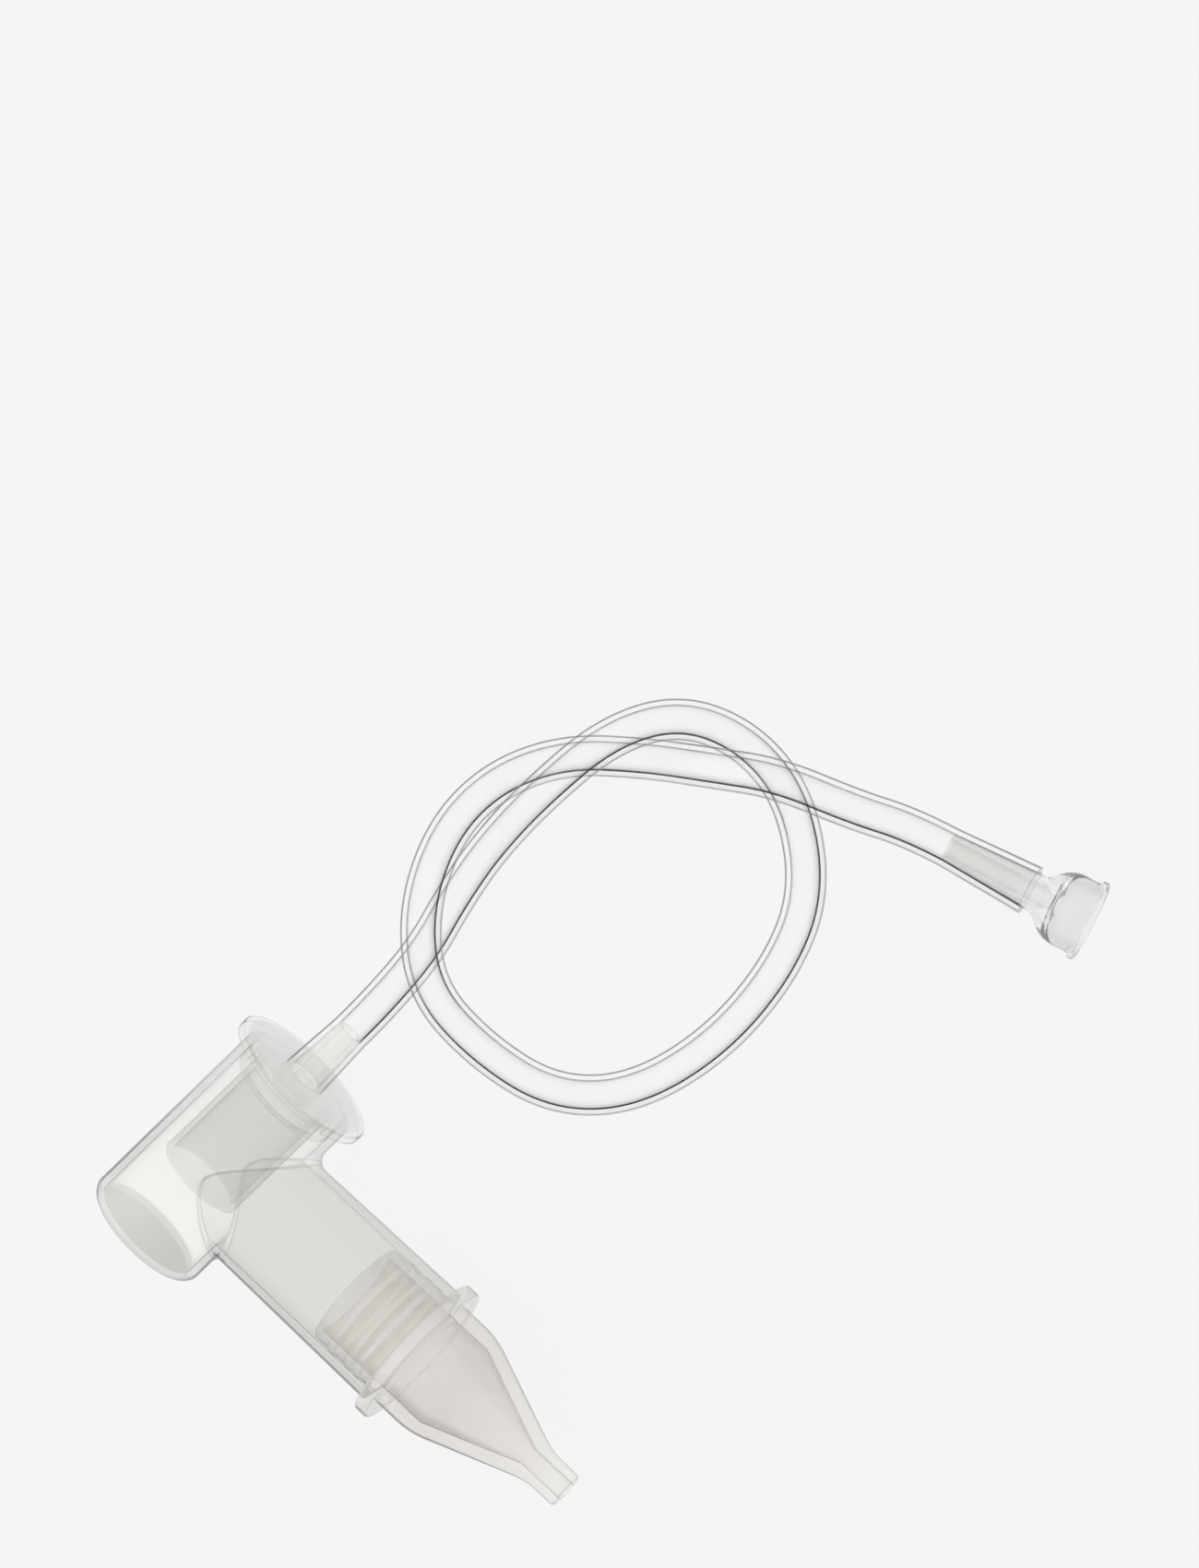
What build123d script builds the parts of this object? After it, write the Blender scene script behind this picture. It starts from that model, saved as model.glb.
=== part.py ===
"""Mouth-suction nasal aspirator: a T-shaped collection body, a push-in nozzle, a capped baffle and a knotted tube.

Units are millimetres. +Z is up, the object lies on Z = 0, and the origin is under the middle of its rigid parts.
The chamber runs along X, with its cap towards +X. The side arm and the nozzle run towards -Y.
"""

import math
import os

from build123d import *

os.makedirs("parts", exist_ok=True)

# Where the chamber's axis and the arm's axis meet, and how far the arm leans from -Y towards the cap.
axis_height = 14.0
junction = Vector(-7.4, 33.8, axis_height)
arm_lean = 6.0

# Moving fits: radial clearance of a push fit, and the gap between faces that only meet.
push_fit = 0.05
face_gap = 0.05

# How far one feature runs into the next inside the same piece
overlap = 0.5

# Chamber. Distances along an axis are measured from the junction.
chamber_radius = 11.75
chamber_bore = 10.25
chamber_base = -18.4
chamber_mouth = 20.3
base_thickness = 1.4
base_edge_radius = 1.9

# Side arm
arm_radius_root = 11.55
arm_radius_rim = 12.0
arm_bore = 10.3
arm_rim = 46.0
seam_radius = 2.2

# Cap
flange_radius = axis_height
flange_thickness = 1.6
flange_edge_radius = 0.4
plug_depth = 4.1
plug_wall = 1.2
plug_chamfer = 0.45
baffle_radius = 8.05
baffle_wall = 1.0
baffle_end = -3.9
spigot_radius = 3.5
spigot_taper = 0.2
spigot_depth = 2.5
nipple_length = 11.25
nipple_radius_root = 3.05
nipple_radius_end = 2.45
airway_radius = 1.6

# Nozzle
skirt_radius = 9.95
skirt_start = 32.75
skirt_edge_radius = 0.4
seal_ring_places = (36.75, 40.55, 42.65)
seal_ring_foot = 0.9
seal_ring_crest = 0.22
collar_radius = axis_height
collar_thickness = 2.7
collar_edge_radius = 0.5
nozzle_radius = 10.9
shoulder_place = 55.7
shoulder_radius = 16.0
tip_place = 75.8
tip_radius = 3.3
tip_bore = 1.75
tip_blend_radius = 12.0
tip_edge_radius = 0.6
nozzle_end = 82.0
cavity_radius = 8.3
cavity_shoulder_place = 56.0
tip_bore_start = 73.3

# Tube
tube_radius = 3.5
tube_bore = 2.5
arc_share = 0.45

# Mouthpiece. Distances along it are measured from the stem's start.
stem_length = 15.3
stem_radius_start = 2.45
stem_radius_end = 3.2
stem_shoulder = 0.15
mouth_lip = 26.6
lip_thickness = 1.0
lip_half_width = 7.0
lip_half_height = 4.4
mouth_airway_end = 20.0

# The tube's route from the nipple's end to the mouthpiece's stem: an overhand knot that lies on the floor.
tube_route = [
    (25.8, 33.8, 14.0),
    (32.0, 33.8, 14.0),
    (43.0, 36.0, 7.4),
    (52.0, 39.5, 4.2),
    (63.0, 41.5, 5.2),
    (77.5, 41.0, 11.5),
    (93.0, 40.0, 11.0),
    (103.7, 34.7, 7.4),
    (108.5, 24.0, 4.5),
    (107.5, 11.5, 3.5),
    (99.0, -1.5, 3.8),
    (86.0, -7.5, 3.6),
    (69.0, -9.2, 3.5),
    (52.5, -5.5, 3.5),
    (42.5, 3.5, 5.5),
    (39.5, 17.0, 9.5),
    (41.0, 30.0, 15.0),
    (49.5, 40.5, 16.0),
    (60.5, 48.0, 10.0),
    (72.0, 49.0, 5.8),
    (83.5, 44.0, 3.8),
    (93.3, 34.0, 3.5),
    (101.9, 24.3, 10.9),
    (109.5, 15.0, 11.8),
    (114.5, 3.0, 7.2),
    (119.0, -5.3, 4.4),
    (121.5, -12.1, 4.4),
]


def heading(degrees):
    """Horizontal unit vector at an angle from +X."""
    return Vector(math.cos(math.radians(degrees)), math.sin(math.radians(degrees)), 0)


def profile_plane(origin, direction):
    """Upright plane whose x runs along the direction and whose y runs up: x is distance, y is radius."""
    return Plane(origin=origin, x_dir=direction, z_dir=direction.cross(Vector(0, 0, 1)))


def section_plane(origin, direction):
    """Plane across the direction, with y up."""
    return Plane(origin=origin, x_dir=Vector(0, 0, 1).cross(direction), z_dir=direction)


def turning_axis(plane):
    """Axis of a turned piece, along the x of its profile plane."""
    return Axis(plane.origin, plane.x_dir)


def finish(piece, name):
    """Label a finished piece and write it."""
    piece.label = name
    export_step(piece, f"parts/{name}.step")


chamber_plane = profile_plane(junction, heading(0))
chamber_axis = turning_axis(chamber_plane)
arm_direction = heading(-90 + arm_lean)
arm_plane = profile_plane(junction, arm_direction)
arm_axis = turning_axis(arm_plane)

# Chamber body: a closed cylinder with a side arm, one moulding
with BuildPart() as chamber_body:
    with BuildSketch(chamber_plane):
        with BuildLine():
            Polyline(
                (chamber_base, 0),
                (chamber_base, chamber_radius),
                (chamber_mouth, chamber_radius),
                (chamber_mouth, 0),
                close=True,
            )
        make_face()
    revolve(axis=chamber_axis)
    with BuildSketch(arm_plane):
        with BuildLine():
            Polyline(
                (0, 0),
                (0, arm_radius_root),
                (arm_rim, arm_radius_rim),
                (arm_rim, 0),
                close=True,
            )
        make_face()
    revolve(axis=arm_axis)
    seam = chamber_body.part.edges().filter_by(GeomType.BSPLINE)
    fillet(seam, seam_radius)
    fillet(chamber_body.edges().sort_by(Axis.X)[0], base_edge_radius)
    with BuildSketch(chamber_plane):
        with BuildLine():
            Polyline(
                (chamber_base + base_thickness, 0),
                (chamber_base + base_thickness, chamber_bore),
                (chamber_mouth, chamber_bore),
                (chamber_mouth, 0),
                close=True,
            )
        make_face()
    revolve(axis=chamber_axis, mode=Mode.SUBTRACT)
    with BuildSketch(arm_plane):
        with BuildLine():
            Polyline((0, 0), (0, arm_bore), (arm_rim, arm_bore), (arm_rim, 0), close=True)
        make_face()
    revolve(axis=arm_axis, mode=Mode.SUBTRACT)
finish(chamber_body.part, "chamber_body")

# Cap: flange, plug, baffle tube, and a nipple that carries the tube, one moulding
plug_radius = chamber_bore - push_fit
flange_back = chamber_mouth + face_gap
flange_face = flange_back + flange_thickness
nipple_end = flange_face + nipple_length
with BuildPart() as cap:
    with BuildSketch(chamber_plane):
        with BuildLine():
            Polyline(
                (flange_back, airway_radius),
                (flange_back, flange_radius),
                (flange_face, flange_radius),
                (flange_face, nipple_radius_root),
                (nipple_end, nipple_radius_end),
                (nipple_end, airway_radius),
                close=True,
            )
        make_face()
    revolve(axis=chamber_axis)
    rim_edges = cap.edges().filter_by(GeomType.CIRCLE).sort_by(SortBy.LENGTH)[-2:]
    fillet(rim_edges, flange_edge_radius)
    with BuildSketch(chamber_plane):
        with BuildLine():
            Polyline(
                (flange_back, plug_radius - plug_wall),
                (flange_back, plug_radius),
                (flange_back - plug_depth + plug_chamfer, plug_radius),
                (flange_back - plug_depth, plug_radius - plug_chamfer),
                (flange_back - plug_depth, plug_radius - plug_wall),
                close=True,
            )
        make_face()
        with BuildLine():
            Polyline(
                (flange_back, baffle_radius - baffle_wall),
                (flange_back, baffle_radius),
                (baffle_end, baffle_radius),
                (baffle_end, baffle_radius - baffle_wall),
                close=True,
            )
        make_face()
        with BuildLine():
            Polyline(
                (flange_back, airway_radius),
                (flange_back, spigot_radius),
                (flange_back - spigot_depth, spigot_radius - spigot_taper),
                (flange_back - spigot_depth, airway_radius),
                close=True,
            )
        make_face()
    revolve(axis=chamber_axis)
finish(cap.part, "cap")

# Nozzle: a ringed skirt that plugs the arm, a collar, and a tapered tip
seal_radius = arm_bore - push_fit
collar_back = arm_rim + face_gap
collar_face = collar_back + collar_thickness
with BuildPart() as nozzle:
    with BuildSketch(arm_plane):
        with BuildLine():
            FilletPolyline(
                (skirt_start, 0),
                (skirt_start, skirt_radius),
                (collar_face, skirt_radius),
                (collar_face, nozzle_radius),
                (shoulder_place, nozzle_radius),
                (tip_place, tip_radius),
                (nozzle_end, tip_radius),
                (nozzle_end, 0),
                close=True,
                radius=[0, skirt_edge_radius, 0, 0, shoulder_radius, tip_blend_radius, tip_edge_radius, 0],
            )
        make_face()
    revolve(axis=arm_axis)
    with BuildSketch(arm_plane):
        with BuildLine():
            Polyline(
                (collar_back, skirt_radius - overlap),
                (collar_back, collar_radius),
                (collar_face, collar_radius),
                (collar_face, skirt_radius - overlap),
                close=True,
            )
        make_face()
    revolve(axis=arm_axis)
    collar_edges = nozzle.edges().filter_by(GeomType.CIRCLE).sort_by(SortBy.LENGTH)[-2:]
    fillet(collar_edges, collar_edge_radius)
    for place in seal_ring_places:
        with BuildSketch(arm_plane):
            with BuildLine():
                Polyline(
                    (place - seal_ring_foot, skirt_radius - overlap),
                    (place - seal_ring_foot, skirt_radius),
                    (place - seal_ring_crest, seal_radius),
                    (place + seal_ring_crest, seal_radius),
                    (place + seal_ring_foot, skirt_radius),
                    (place + seal_ring_foot, skirt_radius - overlap),
                    close=True,
                )
            make_face()
        revolve(axis=arm_axis)
    with BuildSketch(arm_plane):
        with BuildLine():
            Polyline(
                (skirt_start, 0),
                (skirt_start, cavity_radius),
                (cavity_shoulder_place, cavity_radius),
                (tip_bore_start, tip_bore),
                (nozzle_end, tip_bore),
                (nozzle_end, 0),
                close=True,
            )
        make_face()
    revolve(axis=arm_axis, mode=Mode.SUBTRACT)
finish(nozzle.part, "nozzle")

# Mouthpiece: a tapered stem, then a flattened oval mouth with a cavity
stem_start = Vector(*tube_route[-1])
mouth_direction = (stem_start - Vector(*tube_route[-2])).normalized()
mouth_plane = profile_plane(stem_start, mouth_direction)
mouth_axis = turning_axis(mouth_plane)
# Each section is its distance along the mouthpiece, half its width and half its height.
mouth_sections = [
    (stem_length, stem_radius_end + stem_shoulder, stem_radius_end + stem_shoulder),
    (17.6, 3.8, 3.55),
    (19.3, 5.3, 4.0),
    (20.8, 6.1, 4.2),
    (23.4, 6.35, 4.3),
    (mouth_lip - lip_thickness, 6.55, 4.3),
]
cavity_sections = [
    (19.9, 3.4, 2.2),
    (20.9, 5.2, 3.1),
    (mouth_lip, 5.8, 3.4),
]
with BuildPart() as mouthpiece:
    for distance, half_width, half_height in mouth_sections:
        with BuildSketch(section_plane(stem_start + mouth_direction * distance, mouth_direction)):
            Ellipse(half_width, half_height)
    loft()
    with BuildSketch(section_plane(stem_start + mouth_direction * (mouth_lip - lip_thickness), mouth_direction)):
        Ellipse(lip_half_width, lip_half_height)
    extrude(amount=lip_thickness)
    with BuildSketch(mouth_plane):
        with BuildLine():
            Polyline(
                (0, 0),
                (0, stem_radius_start),
                (stem_length, stem_radius_end),
                (stem_length, 0),
                close=True,
            )
        make_face()
    revolve(axis=mouth_axis)
    for distance, half_width, half_height in cavity_sections:
        with BuildSketch(section_plane(stem_start + mouth_direction * distance, mouth_direction)):
            Ellipse(half_width, half_height)
    loft(mode=Mode.SUBTRACT)
    with BuildSketch(section_plane(stem_start, mouth_direction)):
        Circle(airway_radius)
    extrude(amount=mouth_airway_end, mode=Mode.SUBTRACT)
finish(mouthpiece.part, "mouthpiece")


def corner_radii(route):
    """Radius of the arc at each inner point of a route, so that the arc takes a set share of its shorter run."""
    points = [Vector(*point) for point in route]
    radii = []
    for before, corner, after in zip(points, points[1:], points[2:]):
        run_in = corner - before
        run_out = after - corner
        half_turn = math.radians(run_in.get_angle(run_out) / 2)
        radii.append(arc_share * min(run_in.length, run_out.length) / math.tan(half_turn))
    return radii


# Tube: a flared end on the nipple, the free stretch, and a flared end on the mouthpiece's stem
tube_wall = tube_radius - tube_bore
route_radii = corner_radii(tube_route)
print("tube arc radii:", [round(radius, 1) for radius in route_radii])
with BuildPart() as tube:
    with BuildLine() as tube_path:
        FilletPolyline(*tube_route, radius=route_radii)
    with BuildSketch(section_plane(Vector(*tube_route[0]), heading(0))):
        Circle(tube_radius)
        Circle(tube_bore, mode=Mode.SUBTRACT)
    sweep(path=tube_path.wire())
    with BuildSketch(chamber_plane):
        with BuildLine():
            Polyline(
                (flange_face + face_gap, nipple_radius_root + push_fit),
                (flange_face + face_gap, nipple_radius_root + push_fit + tube_wall),
                (nipple_end, tube_radius),
                (nipple_end, tube_bore),
                close=True,
            )
        make_face()
    revolve(axis=chamber_axis)
    with BuildSketch(mouth_plane):
        with BuildLine():
            Polyline(
                (0, tube_bore),
                (0, tube_radius),
                (stem_length - face_gap, stem_radius_end + push_fit + tube_wall),
                (stem_length - face_gap, stem_radius_end + push_fit),
                close=True,
            )
        make_face()
    revolve(axis=mouth_axis)
finish(tube.part, "tube")
print("tube centreline length:", round(tube_path.wire().length + nipple_length + stem_length, 1))
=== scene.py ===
"""Looks of the nasal aspirator: see-through plastics and the clear tube in its loose knot, in soft light."""

import math
from collections import namedtuple

import bmesh
import bpy
from mathutils import Matrix, Vector


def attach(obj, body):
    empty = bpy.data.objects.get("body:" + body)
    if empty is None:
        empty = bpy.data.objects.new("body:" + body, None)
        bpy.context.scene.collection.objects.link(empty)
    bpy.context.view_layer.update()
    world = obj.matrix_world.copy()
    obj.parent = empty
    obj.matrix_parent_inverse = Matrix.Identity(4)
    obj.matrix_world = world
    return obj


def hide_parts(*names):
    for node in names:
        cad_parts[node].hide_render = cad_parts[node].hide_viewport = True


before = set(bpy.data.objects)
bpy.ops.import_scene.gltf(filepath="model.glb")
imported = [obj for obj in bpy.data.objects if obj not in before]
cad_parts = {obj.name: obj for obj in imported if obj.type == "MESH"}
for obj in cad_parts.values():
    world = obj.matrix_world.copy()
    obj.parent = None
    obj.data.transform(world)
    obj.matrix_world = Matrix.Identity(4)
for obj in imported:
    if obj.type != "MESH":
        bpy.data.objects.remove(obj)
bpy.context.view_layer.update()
scene = bpy.context.scene

# Sizes and places are in metres, in the frame's own axes.

# Tube sizes, as in the CAD model
TUBE_RADIUS = 0.0035
TUBE_BORE = 0.0025
TUBE_SIDES = 96
TUBE_END_STEPS = 8
TUBE_SHARP_ANGLE = 40
NIPPLE_ROOT_X = 0.0146  # where the tube's first end stands, just clear of the cap's flange
NIPPLE_FLARE = 0.0006  # how much wider the tube is at that end
STEM_COVERED = 0.01525  # length of the mouthpiece's stem that the tube covers
STEM_FLARE = 0.00075
TUBE_RUN = "run"  # the attribute that holds the tube's direction at each of its points
ROUTE_STEPS = 18

# The tube's route, with the same points as the CAD model
ROUTE = [
    (0.0258, 0.0338, 0.0140),
    (0.0320, 0.0338, 0.0140),
    (0.0430, 0.0360, 0.0074),
    (0.0520, 0.0395, 0.0042),
    (0.0630, 0.0415, 0.0052),
    (0.0775, 0.0410, 0.0115),
    (0.0930, 0.0400, 0.0110),
    (0.1037, 0.0347, 0.0074),
    (0.1085, 0.0240, 0.0045),
    (0.1075, 0.0115, 0.0035),
    (0.0990, -0.0015, 0.0038),
    (0.0860, -0.0075, 0.0036),
    (0.0690, -0.0092, 0.0035),
    (0.0525, -0.0055, 0.0035),
    (0.0425, 0.0035, 0.0055),
    (0.0395, 0.0170, 0.0095),
    (0.0410, 0.0300, 0.0150),
    (0.0495, 0.0405, 0.0160),
    (0.0605, 0.0480, 0.0100),
    (0.0720, 0.0490, 0.0058),
    (0.0835, 0.0440, 0.0038),
    (0.0933, 0.0340, 0.0035),
    (0.1019, 0.0243, 0.0109),
    (0.1095, 0.0150, 0.0118),
    (0.1145, 0.0030, 0.0072),
    (0.1190, -0.0053, 0.0044),
    (0.1215, -0.0121, 0.0044),
]

# Camera: a long lens that looks down on the object
CAMERA_PLACE = Vector((0.2997, -0.1133, 0.8969))
CAMERA_BACK = Vector((0.2314, -0.1608, 0.9595))
CAMERA_UP = Vector((0.6768, 0.7351, -0.0400))
CAMERA_LENS = 127.06
CAMERA_SENSOR = 36.0
CAMERA_NEAR = 0.01
CAMERA_FAR = 20


def make_camera():
    """The camera, from its place, the direction towards the viewer and the one that is up in the picture."""
    data = bpy.data.cameras.new("camera")
    data.lens = CAMERA_LENS
    data.sensor_width = CAMERA_SENSOR
    data.clip_start = CAMERA_NEAR
    data.clip_end = CAMERA_FAR
    camera = bpy.data.objects.new("camera", data)
    back = CAMERA_BACK.normalized()
    right = CAMERA_UP.cross(back).normalized()
    up = back.cross(right)
    camera.matrix_world = Matrix.Translation(CAMERA_PLACE) @ Matrix((right, up, back)).transposed().to_4x4()
    scene.collection.objects.link(camera)
    scene.camera = camera


def route_line():
    """Points along the smooth NURBS line whose control points are the route."""
    data = bpy.data.curves.new("route", "CURVE")
    data.dimensions = "3D"
    data.resolution_u = ROUTE_STEPS
    spline = data.splines.new("NURBS")
    spline.points.add(len(ROUTE) - 1)
    for point, place in zip(spline.points, ROUTE):
        point.co = (*place, 1.0)
    spline.order_u = 3
    spline.use_endpoint_u = True
    holder = bpy.data.objects.new("route", data)
    mesh = bpy.data.meshes.new_from_object(holder)
    line = [vertex.co.copy() for vertex in mesh.vertices]
    bpy.data.meshes.remove(mesh)
    bpy.data.objects.remove(holder)
    bpy.data.curves.remove(data)
    return line


def tube_stations():
    """Centre and extra radius of each ring of the tube, from the cap's nipple to the mouthpiece's stem."""
    line = route_line()
    nipple_root = Vector((NIPPLE_ROOT_X, ROUTE[0][1], ROUTE[0][2]))
    stem_direction = (Vector(ROUTE[-1]) - Vector(ROUTE[-2])).normalized()
    stem_end = line[-1] + stem_direction * STEM_COVERED
    stations = []
    for step in range(TUBE_END_STEPS):
        share = step / TUBE_END_STEPS
        stations.append((nipple_root.lerp(line[0], share), NIPPLE_FLARE * (1 - share)))
    stations += [(point, 0.0) for point in line]
    for step in range(1, TUBE_END_STEPS + 1):
        share = step / TUBE_END_STEPS
        stations.append((line[-1].lerp(stem_end, share), STEM_FLARE * share))
    return stations


def turned_frames(centres):
    """A pair of directions across the line at each centre, carried along it without twist."""
    frames = []
    side = Vector((0, 0, 1))
    for index, centre in enumerate(centres):
        before = centres[max(index - 1, 0)]
        after = centres[min(index + 1, len(centres) - 1)]
        forward = (after - before).normalized()
        side = (side - forward * side.dot(forward)).normalized()
        frames.append((side.copy(), forward.cross(side)))
    return frames


def make_tube():
    """The clear tube: an outer wall and a bore along the route, closed by a ring at each end. The bore's
    faces have the second material."""
    stations = tube_stations()
    centres = [centre for centre, _ in stations]
    frames = turned_frames(centres)
    runs = [side.cross(across) for side, across in frames]
    mesh = bmesh.new()
    walls = []
    for radius in (TUBE_RADIUS, TUBE_BORE):
        rings = []
        for (centre, extra), (side, across) in zip(stations, frames):
            ring = []
            for index in range(TUBE_SIDES):
                angle = math.tau * index / TUBE_SIDES
                spoke = side * math.cos(angle) + across * math.sin(angle)
                ring.append(mesh.verts.new(centre + spoke * (radius + extra)))
            rings.append(ring)
        walls.append(rings)
    outer, bore = walls
    for slot, rings in enumerate(walls):
        for ring, following in zip(rings, rings[1:]):
            for index in range(TUBE_SIDES):
                other = (index + 1) % TUBE_SIDES
                face = mesh.faces.new((ring[index], ring[other], following[other], following[index]))
                face.material_index = slot
    for end in (0, -1):
        for index in range(TUBE_SIDES):
            other = (index + 1) % TUBE_SIDES
            mesh.faces.new((outer[end][index], outer[end][other], bore[end][other], bore[end][index]))
    bmesh.ops.recalc_face_normals(mesh, faces=mesh.faces)
    data = bpy.data.meshes.new("clear_tube")
    mesh.to_mesh(data)
    mesh.free()
    for polygon in data.polygons:
        polygon.use_smooth = True
    data.set_sharp_from_angle(angle=math.radians(TUBE_SHARP_ANGLE))
    ways = data.attributes.new(TUBE_RUN, "FLOAT_VECTOR", "POINT")
    ways.data.foreach_set("vector", [number for run in runs * 2 for number in tuple(run) * TUBE_SIDES])
    tube = bpy.data.objects.new("clear_tube", data)
    scene.collection.objects.link(tube)
    return tube, centres


make_camera()
tube, tube_line = make_tube()
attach(tube, "tube")
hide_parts("tube")


# Directions on the rigid pieces
JUNCTION = (-0.0074, 0.0338, 0.014)  # where the chamber's axis and the arm's axis meet
CHAMBER_WAY = (1.0, 0.0, 0.0)
CLOSED_END_WAY = (-1.0, 0.0, 0.0)
ARM_WAY = (0.104528, -0.994522, 0.0)
ARM_SIDE = (-0.994522, -0.104528, 0.0)
ARM_SQUARE_WAY = (0.0, -1.0, 0.0)  # out of the chamber's side, without the arm's lean
STEM_WAY = (0.345066, -0.938577, 0.0)
PAINTED_LIGHT_WAY = (0.2, 0.98, 0.0)  # the way the painted shade is set by: where the light would come from, along the floor

# What all the plastics share
BLACK = (0.0, 0.0, 0.0)
CLEAR_PLASTIC_IOR = 1.49
MILK_SCALE = 90
MILK_IN_LINE = 0.3  # how much of the milk is left in an outline
ROUGHNESS_SCALE = 260
RELIEF_SCALE = 140
RELIEF_DETAIL = 2
RELIEF_STRENGTH = 0.02
RELIEF_DEPTH = 0.0002
NOISE_SPREAD = (0.3, 0.7)  # where nearly all of the noise lies
FACING_BLEND = 0.001
LEAST_LEFT = 0.0001  # keeps the slant across a tube from a division by 0

# Of flat faces that stand across an axis: how their normals lean along it, and the place where they begin
FLAT_LEAN = (0.93, 0.98)
EDGE_LEAN = 0.2
EDGE_SPAN = 0.25
END_BLEND = 0.0005


# Materials


def new_material(name):
    """An empty material with its node tree and output node."""
    material = bpy.data.materials.new(name)
    material.use_nodes = True
    tree = material.node_tree
    tree.nodes.clear()
    return material, tree, tree.nodes.new("ShaderNodeOutputMaterial")


def feed(tree, socket, value):
    """Give a socket a number, a vector, a colour of three numbers or what comes out of another node."""
    if isinstance(value, bpy.types.NodeSocket):
        tree.links.new(value, socket)
    elif socket.type == "RGBA":
        socket.default_value = (*value, 1)
    else:
        socket.default_value = value


def node_of(tree, kind, inputs, **settings):
    """A node of that kind, with its inputs and settings by name."""
    node = tree.nodes.new(kind)
    for name, value in settings.items():
        setattr(node, name, value)
    for name, value in inputs.items():
        feed(tree, node.inputs[name], value)
    return node


def combine(tree, operation, first, second=0.0):
    """A Math node on one or two values."""
    return node_of(tree, "ShaderNodeMath", {0: first, 1: second}, operation=operation).outputs["Value"]


def combine_vectors(tree, operation, first, second):
    """A Vector Math node that makes a vector of two."""
    node = node_of(tree, "ShaderNodeVectorMath", {0: first, 1: second}, operation=operation)
    return node.outputs["Vector"]


def dot_product(tree, first, second):
    """How far the first vector goes along the second."""
    node = node_of(tree, "ShaderNodeVectorMath", {0: first, 1: second}, operation="DOT_PRODUCT")
    return node.outputs["Value"]


def ranged(tree, value, start, end, low=0.0, high=1.0, smooth=True):
    """A number that goes from low to high as value goes from start to end."""
    inputs = {"Value": value, "From Min": start, "From Max": end, "To Min": low, "To Max": high}
    curve = "SMOOTHSTEP" if smooth else "LINEAR"
    return node_of(tree, "ShaderNodeMapRange", inputs, interpolation_type=curve).outputs["Result"]


def blended(tree, factor, first, second):
    """A colour that goes from first to second."""
    inputs = {"Factor": factor, "A": first, "B": second}
    return node_of(tree, "ShaderNodeMix", inputs, data_type="RGBA").outputs["Result"]


def mixed(tree, factor, first, second):
    """A shader that goes from first to second."""
    return node_of(tree, "ShaderNodeMixShader", {0: factor, 1: first, 2: second}).outputs["Shader"]


def placed(tree, output):
    """The place on the object (output Object), the surface's normal (output Normal) or, in the sky, the way
    that it is seen in (output Generated)."""
    return tree.nodes.new("ShaderNodeTexCoord").outputs[output]


def varied(tree, scale, low, high, detail=3.0):
    """A number that drifts between low and high over the surface, with noise of that scale."""
    inputs = {"Vector": placed(tree, "Object"), "Scale": scale, "Detail": detail}
    noise = node_of(tree, "ShaderNodeTexNoise", inputs)
    return ranged(tree, noise.outputs["Fac"], *NOISE_SPREAD, low, high, smooth=False)


def outward(tree, value):
    """Undo the turn that a normal makes on the back of a face, so that value is of the side facing out."""
    backfacing = tree.nodes.new("ShaderNodeNewGeometry").outputs["Backfacing"]
    return combine(tree, "MULTIPLY", value, ranged(tree, backfacing, 0.0, 1.0, 1.0, -1.0, smooth=False))


def along(tree, output, direction, origin=(0.0, 0.0, 0.0)):
    """How far a point (output Object) or a normal (output Normal) goes along a direction."""
    distance = dot_product(tree, placed(tree, output), direction)
    if output == "Normal":
        return outward(tree, distance)
    return combine(tree, "SUBTRACT", distance, Vector(direction).dot(Vector(origin)))


def off_axis(tree, axis):
    """How far a point is from a line along axis through the junction."""
    away = combine_vectors(tree, "SUBTRACT", placed(tree, "Object"), JUNCTION)
    across = combine_vectors(tree, "CROSS_PRODUCT", away, axis)
    return node_of(tree, "ShaderNodeVectorMath", {0: across}, operation="LENGTH").outputs["Value"]


def outer_walls(tree):
    """1 on walls that face away from the junction of the rigid pieces' axes, 0 on bores, which face it."""
    away = combine_vectors(tree, "SUBTRACT", placed(tree, "Object"), JUNCTION)
    facing = outward(tree, dot_product(tree, away, placed(tree, "Normal")))
    return ranged(tree, facing, -FACING_BLEND, FACING_BLEND)


def across_axis(tree, axis):
    """From 0 on faces that run along an axis to 1 on faces that stand across it."""
    return combine(tree, "ABSOLUTE", along(tree, "Normal", axis))


def stops_along(tree, distance, stops):
    """A colour that goes through the colours of stops, each at its distance."""
    colour = stops[0][1]
    for (place, _), (next_place, next_colour) in zip(stops, stops[1:]):
        reach = ranged(tree, distance, place, next_place)
        colour = blended(tree, reach, colour, next_colour)
    return colour


def stripe(tree, value, centre, half_width):
    """1 where value is at centre, 0 where it is more than half_width away."""
    away = combine(tree, "ABSOLUTE", combine(tree, "SUBTRACT", value, centre))
    return ranged(tree, away, half_width * 0.5, half_width, 1.0, 0.0)


def end_faces(tree, axis, flat_tint, edge_tint, tint, within=None, edge_start=EDGE_LEAN):
    """Another tint on flat faces that stand across the axis, and an outline's tint on the rounded edges
    round them, which begin where their normals lean by edge_start. within is a direction and where the faces
    begin along it, if only part of the piece has them."""
    turned = across_axis(tree, axis)
    flat = ranged(tree, turned, *FLAT_LEAN)
    edge = ranged(tree, turned, edge_start, edge_start + EDGE_SPAN)
    if within:
        direction, begin = within
        there = ranged(tree, along(tree, "Object", direction), begin, begin + END_BLEND)
        flat = combine(tree, "MULTIPLY", flat, there)
        edge = combine(tree, "MULTIPLY", edge, there)
    return blended(tree, flat, blended(tree, edge, tint, edge_tint), flat_tint)
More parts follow.
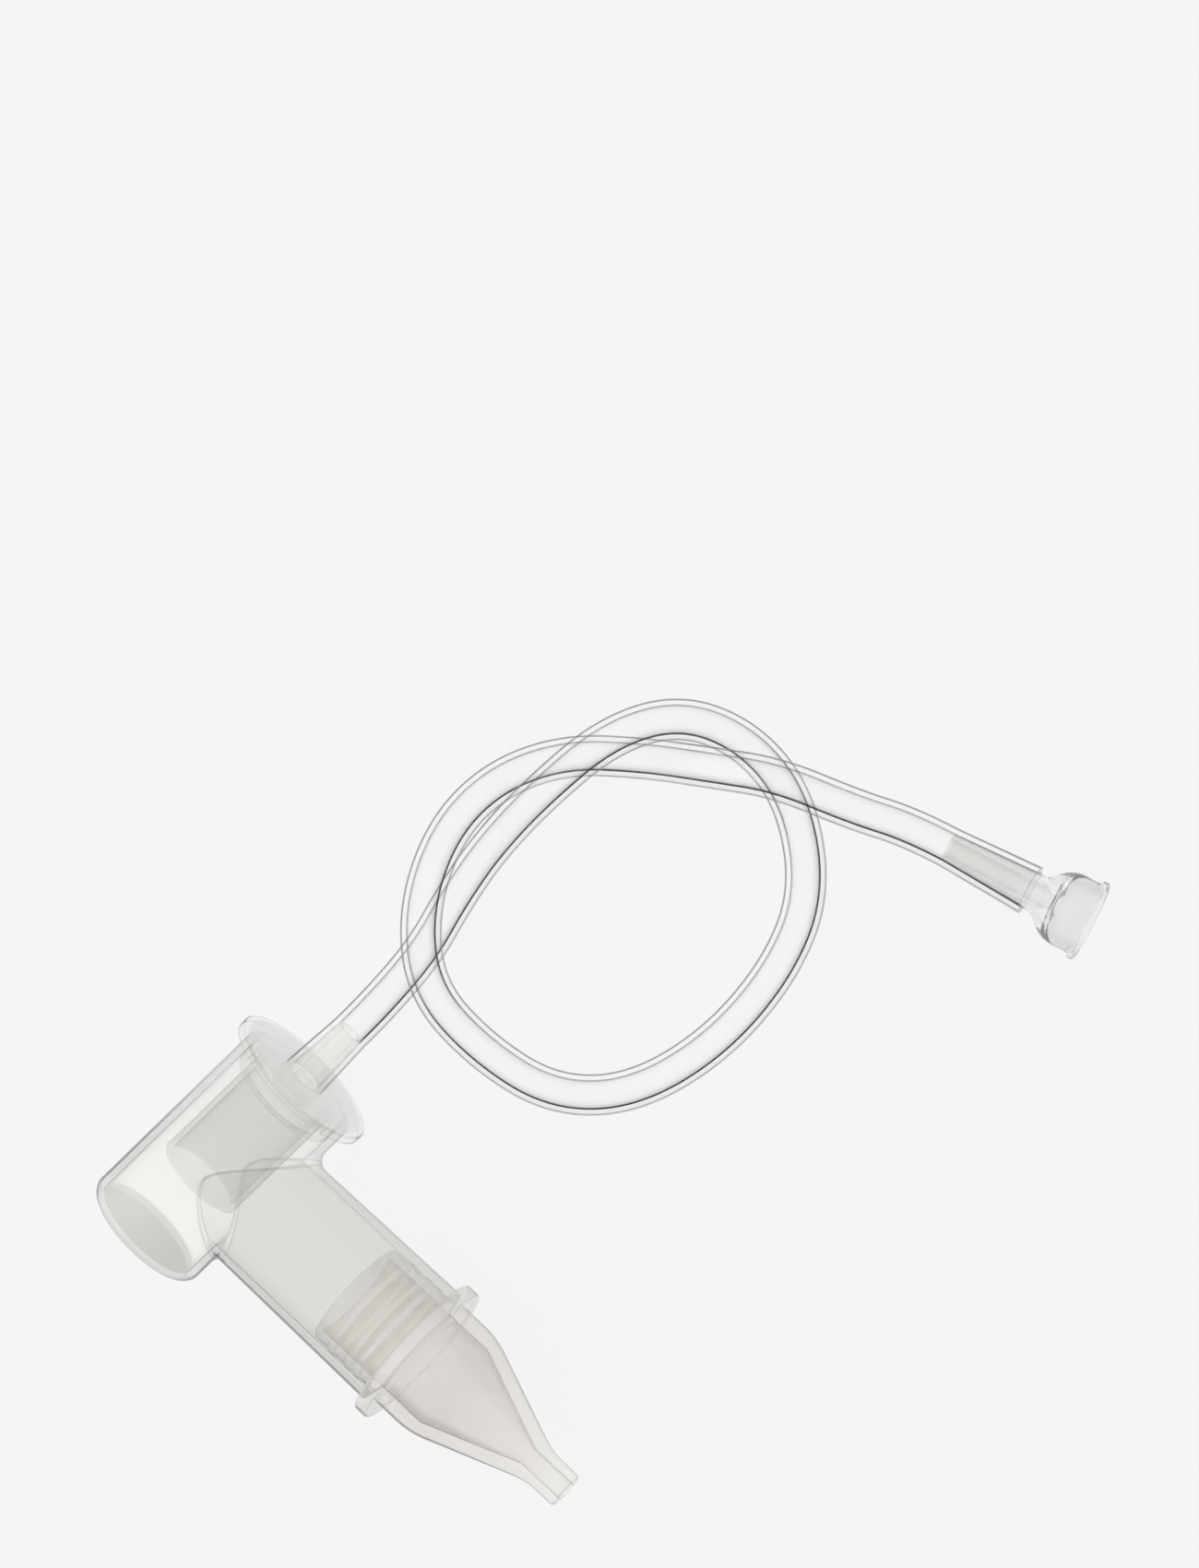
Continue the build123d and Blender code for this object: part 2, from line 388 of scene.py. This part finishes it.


# How a wall looks where it is seen at a slant. soft is the shares of the light that it holds back on the
# light side and on the dark side, and line is the shares that its outline lets through on the same two
# sides;
# the dark side is painted shade. The slants are where each begins and is full, from 0 seen head-on to 1 seen
# along the surface.
Wall = namedtuple("Wall", "soft soft_slant line line_slant")


def slanted(tree, tint, wall, slant, darker):
    """A wall's tint, with its darkening and outline where it is seen at a slant, deeper in painted shade."""
    most_held = ranged(tree, darker, 0.0, 1.0, *wall.soft, smooth=False)
    held = combine(tree, "MULTIPLY", ranged(tree, slant, *wall.soft_slant), most_held)
    light_line, dark_line = wall.line
    outline = blended(tree, darker, (light_line,) * 3, (dark_line,) * 3)
    in_line = ranged(tree, slant, *wall.line_slant)
    return blended(tree, in_line, blended(tree, held, tint, BLACK), outline)


def seen_slant(tree, run=None):
    """How much a surface is seen at a slant, from 0 to 1. With run, the attribute of a tube's direction, it
    is the slant across the tube, so that a tube stays clear where it is seen along its length."""
    facing = node_of(tree, "ShaderNodeLayerWeight", {"Blend": 0.5}).outputs["Facing"]
    if not run:
        return facing
    way = node_of(tree, "ShaderNodeAttribute", {}, attribute_name=run).outputs["Vector"]
    lengthwise = node_of(tree, "ShaderNodeLayerWeight", {"Blend": 0.5, "Normal": way}).outputs["Facing"]
    cosine = combine(tree, "SUBTRACT", 1.0, facing)
    run_cosine = combine(tree, "SUBTRACT", 1.0, lengthwise)
    squared = combine(tree, "MULTIPLY", run_cosine, run_cosine)
    left = combine(tree, "MAXIMUM", combine(tree, "SUBTRACT", 1.0, squared), LEAST_LEFT)
    across = combine(tree, "DIVIDE", cosine, combine(tree, "SQRT", left))
    return combine(tree, "SUBTRACT", 1.0, combine(tree, "MINIMUM", across, 1.0))


def fine_relief(tree):
    """The slight unevenness of a moulded surface."""
    height = varied(tree, RELIEF_SCALE, 0, 1, RELIEF_DETAIL)
    inputs = {"Strength": RELIEF_STRENGTH, "Distance": RELIEF_DEPTH, "Height": height}
    return node_of(tree, "ShaderNodeBump", inputs).outputs["Normal"]


def scattering(tree, milk):
    """Milky plastic, which scatters as much light back as through."""
    front = node_of(tree, "ShaderNodeBsdfDiffuse", {"Color": milk}).outputs["BSDF"]
    through = node_of(tree, "ShaderNodeBsdfTranslucent", {"Color": milk}).outputs["BSDF"]
    return mixed(tree, 0.5, front, through)


def glossed(tree, body, head_on, roughness):
    """A surface with a gloss on its outside, which mirrors the share head_on where it is seen head-on and
    all where it is seen along the surface."""
    inputs = {"Roughness": varied(tree, ROUGHNESS_SCALE, *roughness), "Normal": fine_relief(tree)}
    shine = node_of(tree, "ShaderNodeBsdfGlossy", inputs).outputs["BSDF"]
    steep = combine(tree, "POWER", seen_slant(tree), 5.0)
    mirror = ranged(tree, steep, 0, 1, head_on, 1.0, smooth=False)
    backfacing = tree.nodes.new("ShaderNodeNewGeometry").outputs["Backfacing"]
    outside = combine(tree, "SUBTRACT", 1.0, backfacing)
    return mixed(tree, combine(tree, "MULTIPLY", mirror, outside), body, shine)


def lit_below(tree, surface, shade, output):
    """Show a surface to the eye, and let lamps and bounced light straight through it, dimmed to shade."""
    path = tree.nodes.new("ShaderNodeLightPath")
    lighting = combine(tree, "MAXIMUM", path.outputs["Is Shadow Ray"], path.outputs["Is Diffuse Ray"])
    straight = node_of(tree, "ShaderNodeBsdfTransparent", {"Color": (shade,) * 3}).outputs["BSDF"]
    tree.links.new(mixed(tree, lighting, surface, straight), output.inputs["Surface"])


def see_through(
    name, body_tint, outer, inner, painted_shade_side, ends, milk, milk_share, head_on, roughness, shade, run=None
):
    """A thin-walled see-through plastic.

    body_tint makes the light that one surface passes head-on, and outer and inner are the looks of the
    outer wall and of the bore at a slant. The side of the painted shade is read along a direction, with
    where the light side ends and the dark side begins; on the dark side the outlines and soft darkening
    are painted shade. ends puts in the tints of the end faces. milk is the colour of the light that the
    plastic scatters, and milk_share how much of it there is: a number, or a function that makes one that
    changes over the piece. Lamps and bounced light pass each surface dimmed to shade, so that the floor
    below is lit evenly."""
    material, tree, output = new_material(name)
    slant = seen_slant(tree, run)
    # Painted shade: one side of the piece is darker, as if the light fell from the other side
    where, direction, light_place, dark_place = painted_shade_side
    darker = ranged(tree, along(tree, where, direction), light_place, dark_place)
    plain = body_tint(tree)
    tint = slanted(tree, plain, outer, slant, darker)
    if inner:
        bore_tint = slanted(tree, plain, inner, slant, darker)
        tint = blended(tree, outer_walls(tree), bore_tint, tint)
    clear = node_of(tree, "ShaderNodeBsdfTransparent", {"Color": ends(tree, tint, slant)}).outputs["BSDF"]
    share = milk_share(tree) if callable(milk_share) else milk_share
    milky = combine(tree, "MULTIPLY", varied(tree, MILK_SCALE, 0.9, 1.1), share)
    beside_line = ranged(tree, slant, *outer.line_slant, 1.0, MILK_IN_LINE)
    body = mixed(tree, combine(tree, "MULTIPLY", milky, beside_line), clear, scattering(tree, milk))
    lit_below(tree, glossed(tree, body, head_on, roughness), shade, output)
    return material


def glassy(name, body_tint, edge, edge_start, milk, milk_share, roughness, shade):
    """A thick clear plastic that bends what is seen through it, darker where it is seen at a slant."""
    material, tree, output = new_material(name)
    steep = ranged(tree, seen_slant(tree), edge_start, 1.0)
    inputs = {
        "Transmission Weight": 1.0,
        "IOR": CLEAR_PLASTIC_IOR,
        "Base Color": blended(tree, steep, body_tint(tree), edge),
        "Roughness": varied(tree, ROUGHNESS_SCALE, *roughness),
        "Normal": fine_relief(tree),
    }
    body = node_of(tree, "ShaderNodeBsdfPrincipled", inputs).outputs["BSDF"]
    haze = node_of(tree, "ShaderNodeBsdfTranslucent", {"Color": milk}).outputs["BSDF"]
    lit_below(tree, mixed(tree, milk_share, body, haze), shade, output)
    return material


def dress(piece, material):
    """Give every material slot of a piece this material."""
    if not piece.material_slots:
        piece.data.materials.append(material)
    for slot in piece.material_slots:
        slot.material = material


# Chamber: the tints at its closed end and towards the cap have their places along X
CHAMBER_CLEAR = (-0.025, (1.0, 1.0, 0.993))
CHAMBER_MILKY = (0.004, (0.986, 0.985, 0.98))
ARM_TINT = (0.945, 0.944, 0.932)
# Painted shade: a dark line along the crease where the arm meets the chamber, standing in for the light bent
# there
SEAM_PAINTED_SHADE = (0.82, 0.82, 0.81)
SEAM_ROUNDING = 0.0025
SEAM_BLEND = 0.0003
SEAM_LINE = 0.00035
CLOSED_EDGE_BEGINS = 0.0236  # along -X
CLOSED_EDGE_TINT = (0.94, 0.94, 0.93)
CLOSED_EDGE_LINE = (0.4, 0.4, 0.4)
CLOSED_EDGE_LINE_SLANT = (0.6, 0.85)
# Painted shade on the closed end's disc: its lit tint, its shaded tint, and where one goes to the other
DISC_PAINTED_LIT_TINT = (0.85, 0.848, 0.84)
DISC_PAINTED_SHADE_TINT = (0.78, 0.778, 0.77)
DISC_PAINTED_SHADE_SPAN = (-0.009, 0.007)  # where the disc's painted shade goes from lit to shaded, from the junction towards the arm


def chamber_tint(tree):
    """Clear at the closed end, milkier along the arm, with a line of painted shade at the seam between them.
    """
    chamber = stops_along(tree, along(tree, "Object", CHAMBER_WAY), (CHAMBER_CLEAR, CHAMBER_MILKY))
    out = along(tree, "Object", ARM_SQUARE_WAY, JUNCTION)
    across = along(tree, "Object", ARM_SIDE, JUNCTION)
    squared = combine(tree, "POWER", combine(tree, "ABSOLUTE", across), 2.0)
    rounded = combine(tree, "SQRT", combine(tree, "ADD", squared, SEAM_ROUNDING**2))
    past_seam = combine(tree, "SUBTRACT", out, rounded)
    tint = blended(tree, ranged(tree, past_seam, -SEAM_BLEND, SEAM_BLEND), chamber, ARM_TINT)
    return blended(tree, stripe(tree, past_seam, 0.0, SEAM_LINE), tint, SEAM_PAINTED_SHADE)


def chamber_ends(tree, tint, slant):
    """The closed end's disc, with painted shade that darkens it towards the arm, and its rounded edge, which
    has an outline too.
    """
    within = (CLOSED_END_WAY, CLOSED_EDGE_BEGINS)
    edge = blended(tree, ranged(tree, slant, *CLOSED_EDGE_LINE_SLANT), CLOSED_EDGE_TINT, CLOSED_EDGE_LINE)
    disc_painted_shade = ranged(tree, along(tree, "Object", ARM_SQUARE_WAY, JUNCTION), *DISC_PAINTED_SHADE_SPAN)
    disc = blended(tree, disc_painted_shade, DISC_PAINTED_LIT_TINT, DISC_PAINTED_SHADE_TINT)
    return end_faces(tree, CHAMBER_WAY, disc, edge, tint, within)


# Cap: each pair of places is where one look ends and the next is full, along X
BAFFLE_TO_PLUG = (0.0087, 0.0091)
PLUG_TO_FLANGE = (0.0126, 0.0130)
FLANGE_EDGE_BEGINS = (0.0125, 0.0128)
FLANGE_FACE = (0.0140, 0.0143)
FLANGE_FACE_LEAN = (0.8, 0.98)
FLANGE_CLEAR_RIM = (0.0126, 0.0129)  # away from the axis
BAFFLE_TINT = (0.925, 0.923, 0.917)
PLUG_TINT = (0.975, 0.974, 0.97)
NIPPLE_TINT = (1.0, 0.999, 0.994)
PLUG_EDGE_TINT = (0.8, 0.8, 0.79)
PLUG_EDGE_LINE = 0.00035
PLUG_CHAMFER_TINT = (0.94, 0.94, 0.93)
FLANGE_TINT = (0.97, 0.968, 0.965)
FLANGE_RIM_TINT = (0.995, 0.995, 0.99)
FLANGE_EDGE_TINT = (0.9, 0.9, 0.89)
FLANGE_EDGE_LINE = (0.35, 0.35, 0.35)
FLANGE_EDGE_LINE_SLANT = (0.55, 0.85)
CAP_MILK = 0.08
FLANGE_FACE_MILK = 0.5


def cap_tint(tree):
    """A milky baffle tube, a clearer plug with a line round its lower edge, and a clear nipple."""
    lengthwise = along(tree, "Object", CHAMBER_WAY)
    tint = blended(tree, ranged(tree, lengthwise, *BAFFLE_TO_PLUG), BAFFLE_TINT, PLUG_TINT)
    tint = blended(tree, ranged(tree, lengthwise, *PLUG_TO_FLANGE), tint, NIPPLE_TINT)
    line = stripe(tree, lengthwise, BAFFLE_TO_PLUG[1], PLUG_EDGE_LINE)
    return blended(tree, combine(tree, "MULTIPLY", line, outer_walls(tree)), tint, PLUG_EDGE_TINT)


def cap_milk(tree):
    """The flange's upper face is milkier than the rest, inside a clear rim."""
    upper = ranged(tree, along(tree, "Object", CHAMBER_WAY), *FLANGE_FACE)
    face = combine(tree, "MULTIPLY", ranged(tree, across_axis(tree, CHAMBER_WAY), *FLANGE_FACE_LEAN), upper)
    inside = ranged(tree, off_axis(tree, CHAMBER_WAY), *FLANGE_CLEAR_RIM, 1.0, 0.0)
    milky = combine(tree, "MULTIPLY", face, inside)
    return ranged(tree, milky, 0.0, 1.0, CAP_MILK, FLANGE_FACE_MILK, smooth=False)


def cap_ends(tree, tint, slant):
    """The flange's faces, with an outline on its rounded rim, and the plug's chamfer."""
    edge = blended(tree, ranged(tree, slant, *FLANGE_EDGE_LINE_SLANT), FLANGE_EDGE_TINT, FLANGE_EDGE_LINE)
    on_flange = ranged(tree, along(tree, "Object", CHAMBER_WAY), *FLANGE_EDGE_BEGINS)
    clear_rim = ranged(tree, off_axis(tree, CHAMBER_WAY), *FLANGE_CLEAR_RIM)
    flat = blended(tree, clear_rim, FLANGE_TINT, FLANGE_RIM_TINT)
    return end_faces(tree, CHAMBER_WAY, flat, blended(tree, on_flange, PLUG_CHAMFER_TINT, edge), tint)


# Nozzle: places are distances from the junction along the arm, unless a comment says otherwise
NOZZLE_STOPS = (
    (0.035, (0.935, 0.93, 0.92)),  # skirt
    (0.047, (0.935, 0.922, 0.908)),  # collar
    (0.056, (0.932, 0.917, 0.903)),  # cone's wide end
    (0.070, (0.968, 0.958, 0.948)),  # cone's narrow end
    (0.080, (1.0, 0.997, 0.99)),  # tip
)
# Painted light on the seal rings: a painted highlight along each ring and a painted shadow a little further
# out
SEAL_RINGS = (0.03675, 0.04055, 0.04265)
RING_HIGHLIGHT_LINE = 0.0006
RING_PAINTED_HIGHLIGHT = (1.0, 1.0, 0.998)
RING_SHADOW_OFFSET = 0.0008
RING_SHADOW_LINE = 0.0004
RING_PAINTED_SHADOW = (0.91, 0.9, 0.89)
COLLAR_PLACE = 0.04735
COLLAR_BAND = 0.0020
NOZZLE_MILK = 0.2
COLLAR_MILK = 0.5
ARM_MOUTH = (0.0435, 0.0455)
OUTLINE_IN_ARM = 0.25
COLLAR_BEGINS = 0.0105  # from the frame's origin, along the arm
COLLAR_FACE_TINT = (0.96, 0.957, 0.95)
COLLAR_EDGE_TINT = (0.78, 0.77, 0.76)
COLLAR_EDGE_LEAN = 0.5


def nozzle_tint(tree):
    """Grey skirt, seal rings with a painted highlight and a painted shadow, warmer cone, clear tip."""
    out = along(tree, "Object", ARM_WAY, JUNCTION)
    tint = stops_along(tree, out, NOZZLE_STOPS)
    # a painted shadow just past each seal ring, then a painted highlight on the ring
    for place in SEAL_RINGS:
        tint = blended(tree, stripe(tree, out, place + RING_SHADOW_OFFSET, RING_SHADOW_LINE), tint, RING_PAINTED_SHADOW)
        tint = blended(tree, stripe(tree, out, place, RING_HIGHLIGHT_LINE), tint, RING_PAINTED_HIGHLIGHT)
    return tint


def nozzle_milk(tree):
    """The collar is milkier than the rest."""
    collar = stripe(tree, along(tree, "Object", ARM_WAY, JUNCTION), COLLAR_PLACE, COLLAR_BAND)
    return ranged(tree, collar, 0.0, 1.0, NOZZLE_MILK, COLLAR_MILK, smooth=False)


def nozzle_ends(tree, tint, slant):
    """The collar's faces, with an outline on its rounded rim and on the tip's edge, and fainter outlines on
    the skirt, which sits in the arm."""
    outline_share = ranged(tree, along(tree, "Object", ARM_WAY, JUNCTION), *ARM_MOUTH, OUTLINE_IN_ARM, 1.0)
    tint = blended(tree, outline_share, nozzle_tint(tree), tint)
    within = (ARM_WAY, COLLAR_BEGINS)
    return end_faces(tree, ARM_WAY, COLLAR_FACE_TINT, COLLAR_EDGE_TINT, tint, within, COLLAR_EDGE_LEAN)


# Tube: places are along X
TUBE_TINT = (1.0, 1.0, 0.999)
TUBE_GREYER_TINT = (0.997, 0.997, 0.995)
TUBE_TINT_SCALE = 30
CUT_END_TINT = (0.95, 0.95, 0.95)
CUT_EDGE_TINT = (0.9, 0.9, 0.9)
CUT_END_PLACE = -0.0152  # along -X
BORE_ON_NIPPLE_TINT = (0.96, 0.96, 0.957)
NIPPLE_END = (0.0255, 0.0265)


def tube_tint(tree):
    """Clear, a little greyer in places."""
    return blended(tree, varied(tree, TUBE_TINT_SCALE, 0.0, 1.0), TUBE_TINT, TUBE_GREYER_TINT)


def tube_ends(tree, tint, slant):
    """The cut end that stands against the cap's flange."""
    within = (CLOSED_END_WAY, CUT_END_PLACE)
    return end_faces(tree, CHAMBER_WAY, CUT_END_TINT, CUT_EDGE_TINT, tint, within)


def bore_on_nipple(tree, tint, slant):
    """No dark line where the bore sits tight on the cap's nipple."""
    free = ranged(tree, along(tree, "Object", CHAMBER_WAY), *NIPPLE_END)
    return blended(tree, free, BORE_ON_NIPPLE_TINT, tint)


# Mouthpiece: places are distances along the stem, from its end in the tube
STEM_STOP = (0.012, (0.84, 0.84, 0.83))
MOUTH_STOP = (0.017, (0.9, 0.9, 0.893))


def mouth_tint(tree):
    """Greyer stem, clear mouth."""
    return stops_along(tree, along(tree, "Object", STEM_WAY, ROUTE[-1]), (STEM_STOP, MOUTH_STOP))


chamber_plastic = see_through(
    "translucent_chamber_plastic",
    chamber_tint,
    outer=Wall(soft=(0.09, 0.13), soft_slant=(0.45, 0.58), line=(0.72, 0.22), line_slant=(0.7, 0.82)),
    inner=Wall(soft=(0.0, 0.03), soft_slant=(0.3, 0.8), line=(0.95, 0.86), line_slant=(0.7, 0.9)),
    # painted shade: the chamber's outlines and soft darkening are darker towards one side across the arm
    painted_shade_side=("Object", ARM_SIDE, -0.01, 0.016),
    ends=chamber_ends,
    milk=(0.9, 0.9, 0.88),
    milk_share=0.015,
    head_on=0.02,
    roughness=(0.05, 0.12),
    shade=0.997,
)
cap_plastic = see_through(
    "translucent_cap_plastic",
    cap_tint,
    outer=Wall(soft=(0.05, 0.08), soft_slant=(0.4, 0.9), line=(0.72, 0.65), line_slant=(0.74, 0.9)),
    inner=Wall(soft=(0.02, 0.04), soft_slant=(0.4, 0.9), line=(0.9, 0.85), line_slant=(0.74, 0.9)),
    # painted shade: the cap's outlines and soft darkening are darker where the normal turns away from the
    # light's way
    painted_shade_side=("Normal", PAINTED_LIGHT_WAY, 0.5, -0.5),
    ends=cap_ends,
    milk=(0.84, 0.84, 0.825),
    milk_share=cap_milk,
    head_on=0.02,
    roughness=(0.08, 0.15),
    shade=0.997,
)
nozzle_plastic = see_through(
    "soft_nozzle_plastic",
    nozzle_tint,
    outer=Wall(soft=(0.02, 0.02), soft_slant=(0.3, 0.8), line=(0.66, 0.12), line_slant=(0.7, 0.82)),
    inner=Wall(soft=(0.08, 0.18), soft_slant=(0.3, 0.65), line=(0.8, 0.6), line_slant=(0.72, 0.9)),
    # painted shade: the nozzle's outlines and soft darkening are darker towards one side across the arm
    painted_shade_side=("Object", ARM_SIDE, -0.006, 0.008),
    ends=nozzle_ends,
    milk=(0.86, 0.84, 0.81),
    milk_share=nozzle_milk,
    head_on=0.035,
    roughness=(0.12, 0.2),
    shade=0.99,
)
tube_vinyl = see_through(
    "clear_tube_vinyl",
    tube_tint,
    outer=Wall(soft=(0.0, 0.1), soft_slant=(0.05, 0.9), line=(0.52, 0.64), line_slant=(0.54, 0.66)),
    inner=None,
    # painted shade: the tube's outer outline is darker where the normal turns away from the light's way
    painted_shade_side=("Normal", PAINTED_LIGHT_WAY, 0.5, -0.5),
    ends=tube_ends,
    milk=(0.9, 0.9, 0.9),
    milk_share=0.01,
    head_on=0.035,
    roughness=(0.02, 0.05),
    shade=0.997,
    run=TUBE_RUN,
)
tube_bore_vinyl = see_through(
    "clear_tube_bore_vinyl",
    tube_tint,
    outer=Wall(soft=(0.08, 0.28), soft_slant=(0.0, 0.8), line=(0.74, 0.28), line_slant=(0.47, 0.56)),
    inner=None,
    # painted shade: the bore's outline and soft grey are darker where its normal turns towards the light's
    # way, on the wall away from the light
    painted_shade_side=("Normal", PAINTED_LIGHT_WAY, -0.5, 0.5),
    ends=bore_on_nipple,
    milk=(0.9, 0.9, 0.9),
    milk_share=0.01,
    head_on=0.0,
    roughness=(0.02, 0.05),
    shade=0.997,
    run=TUBE_RUN,
)
mouth_plastic = glassy(
    "clear_mouthpiece_plastic",
    mouth_tint,
    edge=(0.35, 0.35, 0.35),
    edge_start=0.6,
    milk=(0.9, 0.9, 0.9),
    milk_share=0.05,
    roughness=(0.0, 0.03),
    shade=0.997,
)
dress(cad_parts["chamber_body"], chamber_plastic)
dress(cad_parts["cap"], cap_plastic)
dress(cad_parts["nozzle"], nozzle_plastic)
dress(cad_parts["mouthpiece"], mouth_plastic)
tube.data.materials.append(tube_vinyl)
tube.data.materials.append(tube_bore_vinyl)


# Floor and light

FLOOR_SIZE = 12
FLOOR_COLOUR = (0.9, 0.9, 0.9)
FLOOR_ROUGHNESS = (0.85, 0.95)
FLOOR_ROUGHNESS_SCALE = 40
WALL_COLOUR = (0.905, 0.905, 0.905)
WHITE = (1.0, 1.0, 1.0)
MAX_BOUNCES = 32
ROOM_LIGHT = 0.16

# Each soft light: its direction, the cosines where it begins and is full, and its strength
SOFT_LIGHTS = [
    ((0, 0, 1), 0.3, 0.6, 0.875),
    ((-0.4, 0.9, 0.6), 0.5, 0.85, 0.557),
]


def make_floor():
    """A wide matte pale floor under the object."""
    bpy.ops.mesh.primitive_plane_add(size=FLOOR_SIZE)
    floor = bpy.context.object
    floor.name = "floor"
    material, tree, output = new_material("pale_floor")
    roughness = varied(tree, FLOOR_ROUGHNESS_SCALE, *FLOOR_ROUGHNESS)
    inputs = {"Base Color": FLOOR_COLOUR, "Specular IOR Level": 0.0, "Roughness": roughness}
    paint = node_of(tree, "ShaderNodeBsdfPrincipled", inputs)
    tree.links.new(paint.outputs["BSDF"], output.inputs["Surface"])
    dress(floor, material)


def make_sky():
    """A wide soft light overhead and a softer one from the upper left of the picture, in a dimmer room.
    The camera itself sees plain pale walls."""
    world = bpy.data.worlds.new("studio")
    world.use_nodes = True
    scene.world = world
    tree = world.node_tree
    tree.nodes.clear()
    output = tree.nodes.new("ShaderNodeOutputWorld")
    place = placed(tree, "Generated")
    strength = ROOM_LIGHT
    for direction, start, end, amount in SOFT_LIGHTS:
        towards = dot_product(tree, place, tuple(Vector(direction).normalized()))
        strength = combine(tree, "ADD", ranged(tree, towards, start, end, 0.0, amount), strength)
    light = node_of(tree, "ShaderNodeBackground", {"Color": WHITE, "Strength": strength})
    seen = node_of(tree, "ShaderNodeBackground", {"Color": WALL_COLOUR})
    to_camera = tree.nodes.new("ShaderNodeLightPath").outputs["Is Camera Ray"]
    choice = mixed(tree, to_camera, light.outputs["Background"], seen.outputs["Background"])
    tree.links.new(choice, output.inputs["Surface"])


make_floor()
make_sky()
scene.cycles.max_bounces = MAX_BOUNCES
scene.cycles.transmission_bounces = MAX_BOUNCES
scene.cycles.transparent_max_bounces = MAX_BOUNCES
scene.view_settings.view_transform = "Standard"
